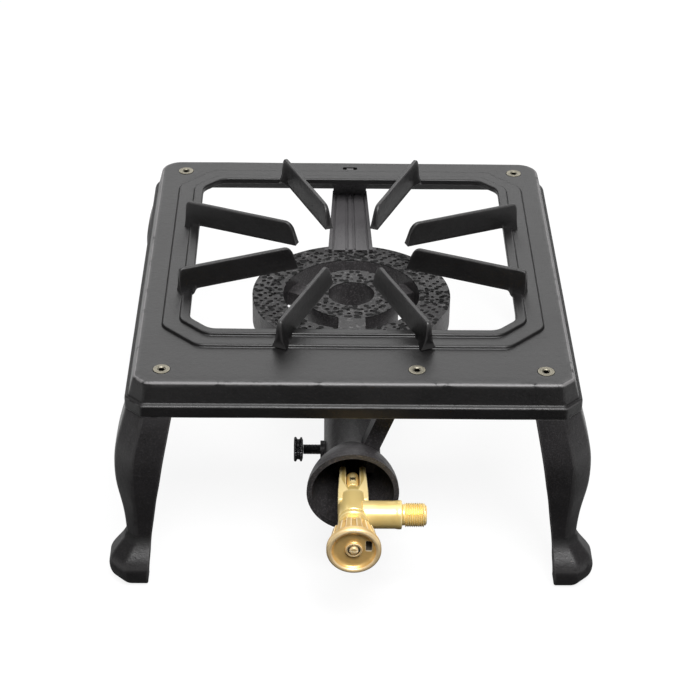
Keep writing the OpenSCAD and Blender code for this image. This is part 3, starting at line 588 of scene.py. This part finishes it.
def leg_curve(z, rim, knee, ankle, toe, sole):
    """A value that eases from rim to knee to ankle to toe down the leg and rounds to sole at
    the floor."""
    upper = rim + (knee - rim) * np.sin(np.pi / 2 * np.clip((LEG_H - z) / (LEG_H - KNEE_H), 0, 1))
    shin = ease(ankle, knee, (z - ANKLE_H) / (KNEE_H - ANKLE_H))
    instep = ease(toe, ankle, (z - TOE_H) / (ANKLE_H - TOE_H))
    round_toe = sole + (toe - sole) * np.sqrt(np.clip(1 - (1 - z / TOE_H) ** 2, 0, 1))
    return np.select([z > KNEE_H, z > ANKLE_H, z > TOE_H], [upper, shin, instep], round_toe)


def angle_loop(d, cut, wall, width):
    """Corners of an angle section: outer faces d past the rim, outer corner cut, walls that
    reach width inward."""
    k = cut * 0.6
    xs = [-width, -width, d - wall - k, d - wall, d - wall, d, d, d - cut]
    ys = [d, d - wall, d - wall, d - wall - k, -width, -width, d - cut, d]
    return np.stack([np.stack(np.broadcast_arrays(*xs), -1), np.stack(np.broadcast_arrays(*ys), -1)], -1)


def leg(side_x, side_y):
    """A cabriole leg: rounded angle sections from the sole to the rim, then the shoulder
    inside the skirt and the pad under the sheet."""
    z = LEG_H * (1 - np.cos(np.pi * np.linspace(0, 1, 72))) / 2
    d = leg_curve(z, 0.0, KNEE_OUT, ANKLE_OUT, TOE_OUT, SOLE_IN)
    cut = leg_curve(z, 12.0, 12.0, 7.0, 10.5, 8.0)
    width = 12 + 19 * (z / LEG_H) ** 1.4
    full = d + width - 2 - 0.6 * cut
    thick = np.select([z > KNEE_H, z > ANKLE_H, z > TOE_H],
                      [ease(5.5, 11, np.clip((z - KNEE_H) / (LEG_H - KNEE_H), 0, 1) ** 3),
                       np.full_like(z, 5.5), ease(full, 5.5, (z - TOE_H) / (ANKLE_H - TOE_H))], full)
    sections = angle_loop(d, cut, thick, width)
    reach = np.array([1.3, 1.3, 3, 3, 1.3, 1.3, 2.2, 2.2])
    rings = soften(sections, reach, 6, 2)
    pad = np.array([(-36, -8.96), (-36, -24), (-32, -28), (-28, -32), (-24, -36), (-8.96, -36),
                    (-8.96, -20.96), (-20.96, -8.96)])
    grow = np.array([(0, -2.84), (0, 0), (0, 0), (0, 0), (0, 0), (-2.84, 0), (-2.84, -2.84), (-2.84, -2.84)])
    top = np.stack([angle_loop(-5.8, 12, 4.5, 28), angle_loop(-9.46, 12, 4.5, 28), pad, pad + grow])
    rings = np.concatenate([rings, soften(top, reach * 0.6, 6, 2)])
    heights = np.concatenate([z, [LEG_H, 138.5, 138.5, 147.5]])
    rings = np.concatenate([rings, np.broadcast_to(heights[:, None, None], (*rings.shape[:2], 1))], -1)
    rings[..., :2] += (wave(rings, 0.25, 33) - 0.2)[..., None] * np.clip(heights / 20, 0, 1)[:, None, None]
    rings[..., :2] += (RIM_X, RIM_Y)
    rings[..., 2] += FLOOR
    return solid(rings * np.array([side_x, side_y, 1]))


# ---------------------------------------------------------------- screws and nuts

def hexagon(around, across):
    """Radius of a hexagon of that width across flats, at evenly spaced angles."""
    a = (np.arange(around) * TAU / around) % (TAU / 6)
    return across / 2 / np.cos(a - TAU / 12)


def plate_screw(x, y):
    """A countersunk screw: a lathe profile whose recess changes from a round rim to a
    hexagon going down."""
    profile = [(0.01, -20.5), (2.2, -20.5), (3, -19.6), (3, -3.2), (5.1, -0.7), (5.5, -0.1), (5.45, 0.16),
               (5.2, 0.28), (4.2, 0.3), (3.1, 0.28), (2.65, 0.1), (2.35, -0.3)]
    rings = turned(profile, 48)
    socket = [turned([(1, z)], 48) for z in (-0.35, -2.0)]
    radius = hexagon(48, 4.0)[:, None]
    socket = [np.concatenate([ring[0][:, :2] * radius, ring[0][:, 2:]], 1) for ring in socket]
    return solid(np.concatenate([rings, np.stack(socket)]) + np.array([x, y, 0]))


def knurled(radius, ridges, depth, around):
    """Radius round a knurled edge: even ridges of that depth."""
    a = np.arange(around) * TAU / around
    return radius - depth * (0.5 - 0.5 * np.cos(ridges * a)) ** 1.5


def thumb_screw():
    """The clamp screw: a threaded shank, and a spool-shaped head with a knurled edge."""
    tip, neck, face = 9.0, 33.1, 39.4
    z = np.arange(tip + 0.8, neck, 0.25)
    a = np.arange(40) * TAU / 40
    thread = 3.45 - 0.42 * np.abs(((z[:, None] - a / TAU) % 1) * 2 - 1)
    shank = np.stack([thread * np.cos(a), thread * np.sin(a), np.broadcast_to(z[:, None], thread.shape)], -1)
    first = turned([(2.7, tip)], 40)
    shank = solid(np.concatenate([first, shank]))
    heights = [neck, neck + 0.2, neck + 0.9, neck + 1.8, neck + 2.6, face - 2.3, face - 1.6, face - 0.7,
               face - 0.15, face]
    inner = [0.1, 6.2, 8.2, 8.3, 6.9, 6.9, 8.3, 8.4, 7.9, 6.6]
    full = knurled(1.0, 26, 0.05, 156)
    rings = turned(list(zip(inner, heights)), 156)
    rings[..., :2] *= full[:, None]
    end = turned([(5.4, face), (4.6, face - 0.9), (0.1, face - 1)], 156)
    return joined([solid_at(leftward, shank), solid_at(leftward, solid(np.concatenate([rings, end])))])


def solid_at(aim, surface, at=(0, -120, VALVE_Z)):
    """A surface turned to its axis and moved there, its faces still pointing outwards."""
    points, faces = surface
    return aim(points, at), faces


# ---------------------------------------------------------------- valve

def prism(plan, heights, insets):
    """Loops of a flat plan at several heights, each drawn in by its inset; plan(e) gives the
    corners drawn in by e and the reach of their rounds. The two end faces are whole."""
    loops = []
    for z, e in zip(heights, insets):
        corners, reach = plan(e)
        loop = soften(corners, reach, 6, 1)
        loops.append(np.column_stack([loop[:, 0], np.full(len(loop), z), loop[:, 1]]))
    rings = np.stack(loops)
    rows, cols = rings.shape[:2]
    points = rings.reshape(-1, 3)
    quads = grid_faces(rows, cols, False)
    caps = [np.arange(cols)[::-1], np.arange(cols) + (rows - 1) * cols]
    flat = [np.column_stack([np.full(cols - 2, cap[0]), cap[1:-1], cap[2:]]) for cap in caps]
    halves = np.concatenate([quads[:, [0, 1, 2]], quads[:, [0, 2, 3]], *flat])
    a, b, c = (points[halves[:, k]] for k in range(3))
    if np.einsum("ij,ij->i", a, np.cross(b, c)).sum() < 0:
        quads, caps = quads[:, ::-1], [cap[::-1] for cap in caps]
    return points, quads.tolist() + [cap.tolist() for cap in caps]


def fork_plan(e):
    """The fork from above, x against distance forward: two prongs round a slot with a
    half-round root, drawn in by e."""
    corners = [(-10 + e, 187 - e), (-10 + e, 178), (-8.5 + e, 149 + e), (-4.4 - e, 149 + e),
               (-4.4 - e, 172 + e), (4.4 + e, 172 + e), (4.4 + e, 149 + e), (8.5 - e, 149 + e),
               (10 - e, 178), (10 - e, 187 - e)]
    return corners, np.array([2, 9, 1.1, 1.1, 4.3, 4.3, 1.1, 1.1, 9, 2])


def tongue(low, high):
    """One lower arm of the fork as a rounded bar along the valve's axis."""
    section = soften([(low, -3), (high, -3), (high, 3), (low, 3)], 0.8, 5, 1)
    steps = [(116, 0.8), (116.4, 0.92), (117.2, 1), (152, 1)]
    middle = (low + high) / 2
    rings = [np.column_stack([middle + (section[:, 0] - middle) * k, section[:, 1] * k,
                              np.full(len(section), z)]) for z, k in steps]
    return solid(np.stack(rings))


def inlet():
    """The side branch with its collar, relief and gas thread: the thread's radius is the
    crest less its depth times a triangle wave of distance over pitch less the turn."""
    around = 64
    a = np.arange(around) * TAU / around
    stub = soften([(0.1, 6), (9.1, 6), (9.1, 27.2), (9.45, 28.8), (9.45, 31.3), (6.9, 31.7), (6.9, 33.2),
                   (0.1, 33.2)],
                  [0.1, 0.3, 1.5, 0.5, 0.6, 0.4, 0.3, 0.1], 4, 1)
    pitch = 1.411
    z = np.arange(33.0, 46.95, pitch / 8)
    crest = 7.93 - 1.3 * np.clip((z - 45.6) / 1.4, 0, 1) - 0.9 * np.clip((33.8 - z) / 0.8, 0, 1)
    turn = (z[:, None] / pitch - a / TAU) % 1
    radius = crest[:, None] - 0.8 * np.abs(2 * turn - 1)
    thread = np.stack([radius * np.cos(a), radius * np.sin(a), np.broadcast_to(z[:, None], radius.shape)], -1)
    mouth = turned([(6.3, 47.1), (5.9, 47.45), (4.7, 47.45), (4.1, 46.9), (4.0, 43.5), (4.0, 28)], around)
    return joined([solid(turned(stub, around)), solid(np.concatenate([thread, mouth]))])


def barrel():
    """The round barrel in front of the fork, with a tool groove and a chamfered end."""
    profile = soften([(0.1, 178.5), (9.7, 178.5), (9.95, 186), (9.95, 200.2), (9.5, 200.6), (9.5, 201.4),
                      (9.95, 201.8), (9.95, 203.8), (8.6, 205), (0.1, 205)],
                     [0.1, 1, 1, 0.2, 0.2, 0.2, 0.2, 0.5, 0.5, 0.1], 4, 1)
    return solid(turned(profile, 72))


def valve_body():
    """Fork, tongues, barrel and inlet as one piece of overlapping solids. The barrel has no
    bore, so the spindle runs through its brass out of sight."""
    z = np.array([-7, -6.85, -6.4, -5.8, 0, 5.8, 6.4, 6.85, 7])
    inset = np.array([1.1, 0.6, 0.2, 0, 0, 0, 0.2, 0.6, 1.1])
    made = [solid_at(forward, prism(fork_plan, z, inset), (0, 0, VALVE_Z)),
            solid_at(forward, barrel(), (0, 0, VALVE_Z)),
            solid_at(rightward, inlet(), (0, -194, VALVE_Z))]
    for low, high in ((-8.45, -5.05), (5.05, 8.45)):
        made.append(solid_at(forward, tongue(low, high), (0, 0, VALVE_Z)))
    return joined(made)


def hex_nut(low, high, across, bore, around=72):
    """A hexagon with turned ends: its radius is the smaller of the hexagon's and a cone that
    runs in 30 degrees from the flats' corners, and it is open down the middle."""
    z = np.concatenate([np.linspace(low, low + 1.2, 5), np.linspace(high - 1.2, high, 5)])
    corner = across / math.sqrt(3)
    cone = corner - 1.73 * np.clip(0.75 - np.minimum(z - low, high - z), 0, 1)
    radius = np.minimum(hexagon(around, across)[None, :], cone[:, None])
    a = np.arange(around) * TAU / around
    heights = np.broadcast_to(z[:, None], radius.shape)
    outside = np.stack([radius * np.cos(a), radius * np.sin(a), heights], -1)
    inside = turned([(bore + 0.6, high), (bore, high - 0.6), (bore, low + 0.6), (bore + 0.6, low)], around)
    return solid(np.concatenate([outside, inside]), closed=True)


def gas_jet():
    """The jet: a round nose with its hole and a cross hole, a hexagon to turn it by, and the
    thread's stub."""
    nose = soften([(0.6, 170), (0.6, 151), (1.5, 150.05), (2.4, 150.05), (4.05, 152.4), (4.05, 165.6),
                   (3.0, 166.2), (3.0, 170)],
                  [0.1, 0.3, 0.3, 0.6, 0.8, 0.3, 0.3, 0.1], 5, 1)
    stub = [(0.6, 183.9), (0.6, 170.5), (2.48, 170.5), (2.48, 183.9)]
    drill = turned([(1.6, -6), (1.6, 6)], 32)
    cross = np.stack([drill[..., 0], drill[..., 2], drill[..., 1] + 159.5], -1)
    return joined([cut_away(solid(turned(nose, 48), closed=True), [solid(cross)]),
                   hex_nut(166, 171.95, 7.4, 0.6), solid(turned(stub, 32), closed=True)])


# ---------------------------------------------------------------- knob

KNOB_FACE = 234.0


def knob():
    """The dished handwheel: a lathe profile whose conical back is fluted. A flute draws the
    radius in by its depth times a narrow cosine of the turn, faded out at both ends of the
    cone. A slot is cut through the web."""
    r = 17.5
    back, rim = 214.0, KNOB_FACE - 6
    profile = soften([
        (3.06, back), (12.3, back), (13.8, back + 1.5), (r - 1.2, rim), (r, rim + 1.2), (r, KNOB_FACE - 1.2),
        (r - 1.4, KNOB_FACE), (r - 3.1, KNOB_FACE - 0.3), (r - 4.6, KNOB_FACE - 3.0), (5.95, KNOB_FACE - 3.4),
        (5.35, KNOB_FACE - 2.8), (5.3, KNOB_FACE - 1.62), (4.2, KNOB_FACE - 1.62), (4.2, KNOB_FACE - 3.2),
        (2.06, KNOB_FACE - 3.2), (2.06, KNOB_FACE - 4), (3.06, KNOB_FACE - 4)],
        [0.3, 0.6, 1.5, 1.6, 1.2, 1.1, 1.0, 1.0, 2.0, 0.8, 0.3, 0.35, 0.2, 0.2, 0.1, 0.1, 0.1], 6, 5)
    around = 168
    rings = turned(profile, around)
    a = np.arange(around) * TAU / around
    flute = np.clip(np.cos(14 * (a - TAU / 28)), 0, 1) ** 0.8
    s, radius = profile[:, 1], profile[:, 0]
    fade = (radius > 12) * np.clip((rim + 0.2 - s) / 1.8, 0, 1)
    rings[..., :2] *= (1 - 1.25 * fade[:, None] * flute / np.maximum(radius, 1)[:, None])[..., None]
    slot = soften([(7.5, -1.5), (11.5, -1.5), (11.5, 6.5), (7.5, 6.5)], 1.0, 5)
    walls = [np.column_stack([slot, np.full(len(slot), z)]) for z in (213.0, 235.0)]
    return cut_away(solid(rings, closed=True), [solid(walls)])


def knob_screw():
    """A pan-head screw with a cross slot of one saw cut."""
    head = KNOB_FACE - 3.2 + 0.8
    profile = soften([(0.05, head - 2), (2, head - 2), (2, head), (2.88, head), (2.88, head + 1.1),
                      (2.2, head + 1.75), (0.05, head + 1.8)], [0.05, 0.1, 0.1, 0.2, 0.6, 0.6, 0.05], 5, 1)
    cut = soften([(-4, -0.4), (4, -0.4), (4, 0.4), (-4, 0.4)], 0.05, 2)
    walls = [np.column_stack([cut, np.full(len(cut), z)]) for z in (head + 1.0, head + 3)]
    return cut_away(solid(turned(profile, 48)), [solid(walls)])


# ---------------------------------------------------------------- studio

def studio():
    """The floor, the world, three soft lamps and the camera. Only the camera sees the floor
    and the world white: to light and reflections the floor is grey, and nearly black in front
    of the stand, and the world is dim."""
    scene = bpy.context.scene
    scene.view_settings.view_transform = "Standard"
    size = 6.0
    corners = np.array([(-size, -size), (size, -size), (size, size), (-size, size)])
    mesh = bpy.data.meshes.new("floor")
    mesh.from_pydata(np.column_stack([corners, np.full(4, -0.0004)]).tolist(), [], [[0, 1, 2, 3]])
    floor = bpy.data.objects.new("floor", mesh)
    scene.collection.objects.link(floor)
    paper = bpy.data.materials.new("white_paper")
    paper.use_nodes = True
    tree = paper.node_tree
    tree.nodes.clear()
    start = Wire(tree, None)
    seen = start.make("ShaderNodeLightPath", output=0)
    fibres = start.make("ShaderNodeTexCoord", output=3).noise(300, 3)
    matt = start.make("ShaderNodeBsdfDiffuse", None, {
        "Color": fibres.blend((0.9, 0.9, 0.9), (0.96, 0.96, 0.96))})
    place = start.make("ShaderNodeTexCoord", output=3)
    across = place.make("ShaderNodeSeparateXYZ", None, {"Vector": place}, output=0)
    along = place.make("ShaderNodeSeparateXYZ", None, {"Vector": place}, output=1)
    in_front = (1 - (across * across).between(0.05, 0.3)) * (1 - along.between(-0.2, 0.1))
    grey = start.make("ShaderNodeBsdfDiffuse", None, {
        "Color": in_front.blend(fibres.blend((0.72, 0.72, 0.72), (0.78, 0.78, 0.78)), (0.03, 0.03, 0.03))})
    white = start.make("ShaderNodeEmission", None, {"Color": (1, 1, 1, 1), "Strength": 1.0})
    paper_white = start.make("ShaderNodeMixShader", None, {0: 0.88, 1: matt, 2: white})
    mixed = start.make("ShaderNodeMixShader", None, {0: seen, 1: grey, 2: paper_white})
    start.make("ShaderNodeOutputMaterial", None, {"Surface": mixed})
    mesh.materials.append(paper)

    world = bpy.data.worlds.new("studio")
    scene.world = world
    world.use_nodes = True
    tree = world.node_tree
    tree.nodes.clear()
    start = Wire(tree, None)
    seen = start.make("ShaderNodeLightPath", output=0)
    strength = seen * (1 - WORLD_FILL) + WORLD_FILL
    start.make("ShaderNodeOutputWorld", None, {"Surface": start.make(
        "ShaderNodeBackground", None, {"Color": (1, 1, 1, 1), "Strength": strength})})

    for name, place, target, extent, power in LAMPS:
        lamp = bpy.data.lights.new(name, "AREA")
        lamp.shape, lamp.size, lamp.size_y, lamp.energy = "RECTANGLE", extent[0], extent[1], power
        made = bpy.data.objects.new(name, lamp)
        made.location = place
        made.rotation_euler = (Vector(target) - Vector(place)).to_track_quat("-Z", "Y").to_euler()
        scene.collection.objects.link(made)

    camera = bpy.data.cameras.new("camera")
    camera.lens, camera.sensor_width = LENS, 36.0
    made = bpy.data.objects.new("camera", camera)
    pitch, yaw, roll = (math.radians(v) for v in CAMERA_TURN)
    ahead = Vector((math.sin(yaw) * math.cos(pitch), math.cos(yaw) * math.cos(pitch), -math.sin(pitch)))
    right = Vector((math.cos(yaw), -math.sin(yaw), 0))
    up = right.cross(ahead)
    x_axis = math.cos(roll) * right + math.sin(roll) * up
    y_axis = -math.sin(roll) * right + math.cos(roll) * up
    made.matrix_world = Matrix((x_axis, y_axis, -ahead)).transposed().to_4x4()
    made.location = (Vector(PLATE_MID) + Vector(CAMERA_PLACE)) * MM
    scene.collection.objects.link(made)
    scene.camera = made


WORLD_FILL = 0.1
LENS = 107.88
# pitch down, yaw to the right and roll of the camera in degrees, and its place in millimetres
# from the plate's middle
CAMERA_TURN = 31.89, 1.02, 0.93
CAMERA_PLACE = -23.35, -1290.64, 730.88
# name, place, what it points at, its two sides (all in metres), and its power in watts
LAMPS = [
    ("back_sky", (0.0, 2.2, 1.7), (0, 0, 0.1), (4.0, 1.8), 53),
    ("overhead", (-0.2, -0.1, 2.0), (0, 0, 0.1), (1.6, 1.2), 14),
    ("front_top", (0.2, -1.15, 1.85), (0, -0.1, 0.1), (1.2, 0.8), 60),
]

# ---------------------------------------------------------------- assembly

refinish_cad()
studio()
add_piece("top_plate_cast", cut_away(top_plate(), screw_holes()), "root", IRON,
          ["top_plate"], share=plate_wear_and_shading_share)
add_piece("pot_fingers_cast", pot_fingers(), "root", IRON_PLAIN, ["pot_fingers"])
for side, node in (((-1, -1), "leg_front_left"), ((1, -1), "leg_front_right"),
                   ((-1, 1), "leg_back_left"), ((1, 1), "leg_back_right")):
    add_piece(node + "_cast", leg(*side), "root", IRON_LEG, [node])
add_piece("leg_screws_turned", joined([plate_screw(x, y) for x, y in LEG_SCREWS]), "root", SCREW_ZINC,
          ["leg_screws"])
add_piece("burner_screw_turned", plate_screw(*BURNER_SCREW), "root", SCREW_ZINC,
          ["burner_screw"])
add_piece("thumb_screw_knurled", thumb_screw(), "thumb_screw", BLACK_STEEL, ["thumb_screw"])

add_piece("valve_body_cast", valve_body(), "root", BRASS, ["valve_body"])
add_piece("gas_jet_turned", solid_at(forward, gas_jet(), (0, 0, VALVE_Z)), "root", JET_BRASS,
          ["gas_jet"])
gland = joined([hex_nut(205, 213, 15, 3.05),
                solid(turned([(5.8, 198.5), (5.8, 205.5), (3.1, 205.5), (3.1, 198.5)], 48), closed=True)])
add_piece("gland_nut_turned", solid_at(forward, gland, (0, 0, VALVE_Z)), "root", BRASS,
          ["gland_nut"])
add_piece("knob_turned", solid_at(forward, knob(), (0, 0, VALVE_Z)), "knob", OLD_BRASS,
          ["knob"])
add_piece("knob_screw_turned", solid_at(forward, knob_screw(), (0, 0, VALVE_Z)), "knob", OLD_BRASS,
          ["knob_screw"])

bpy.context.view_layer.update()
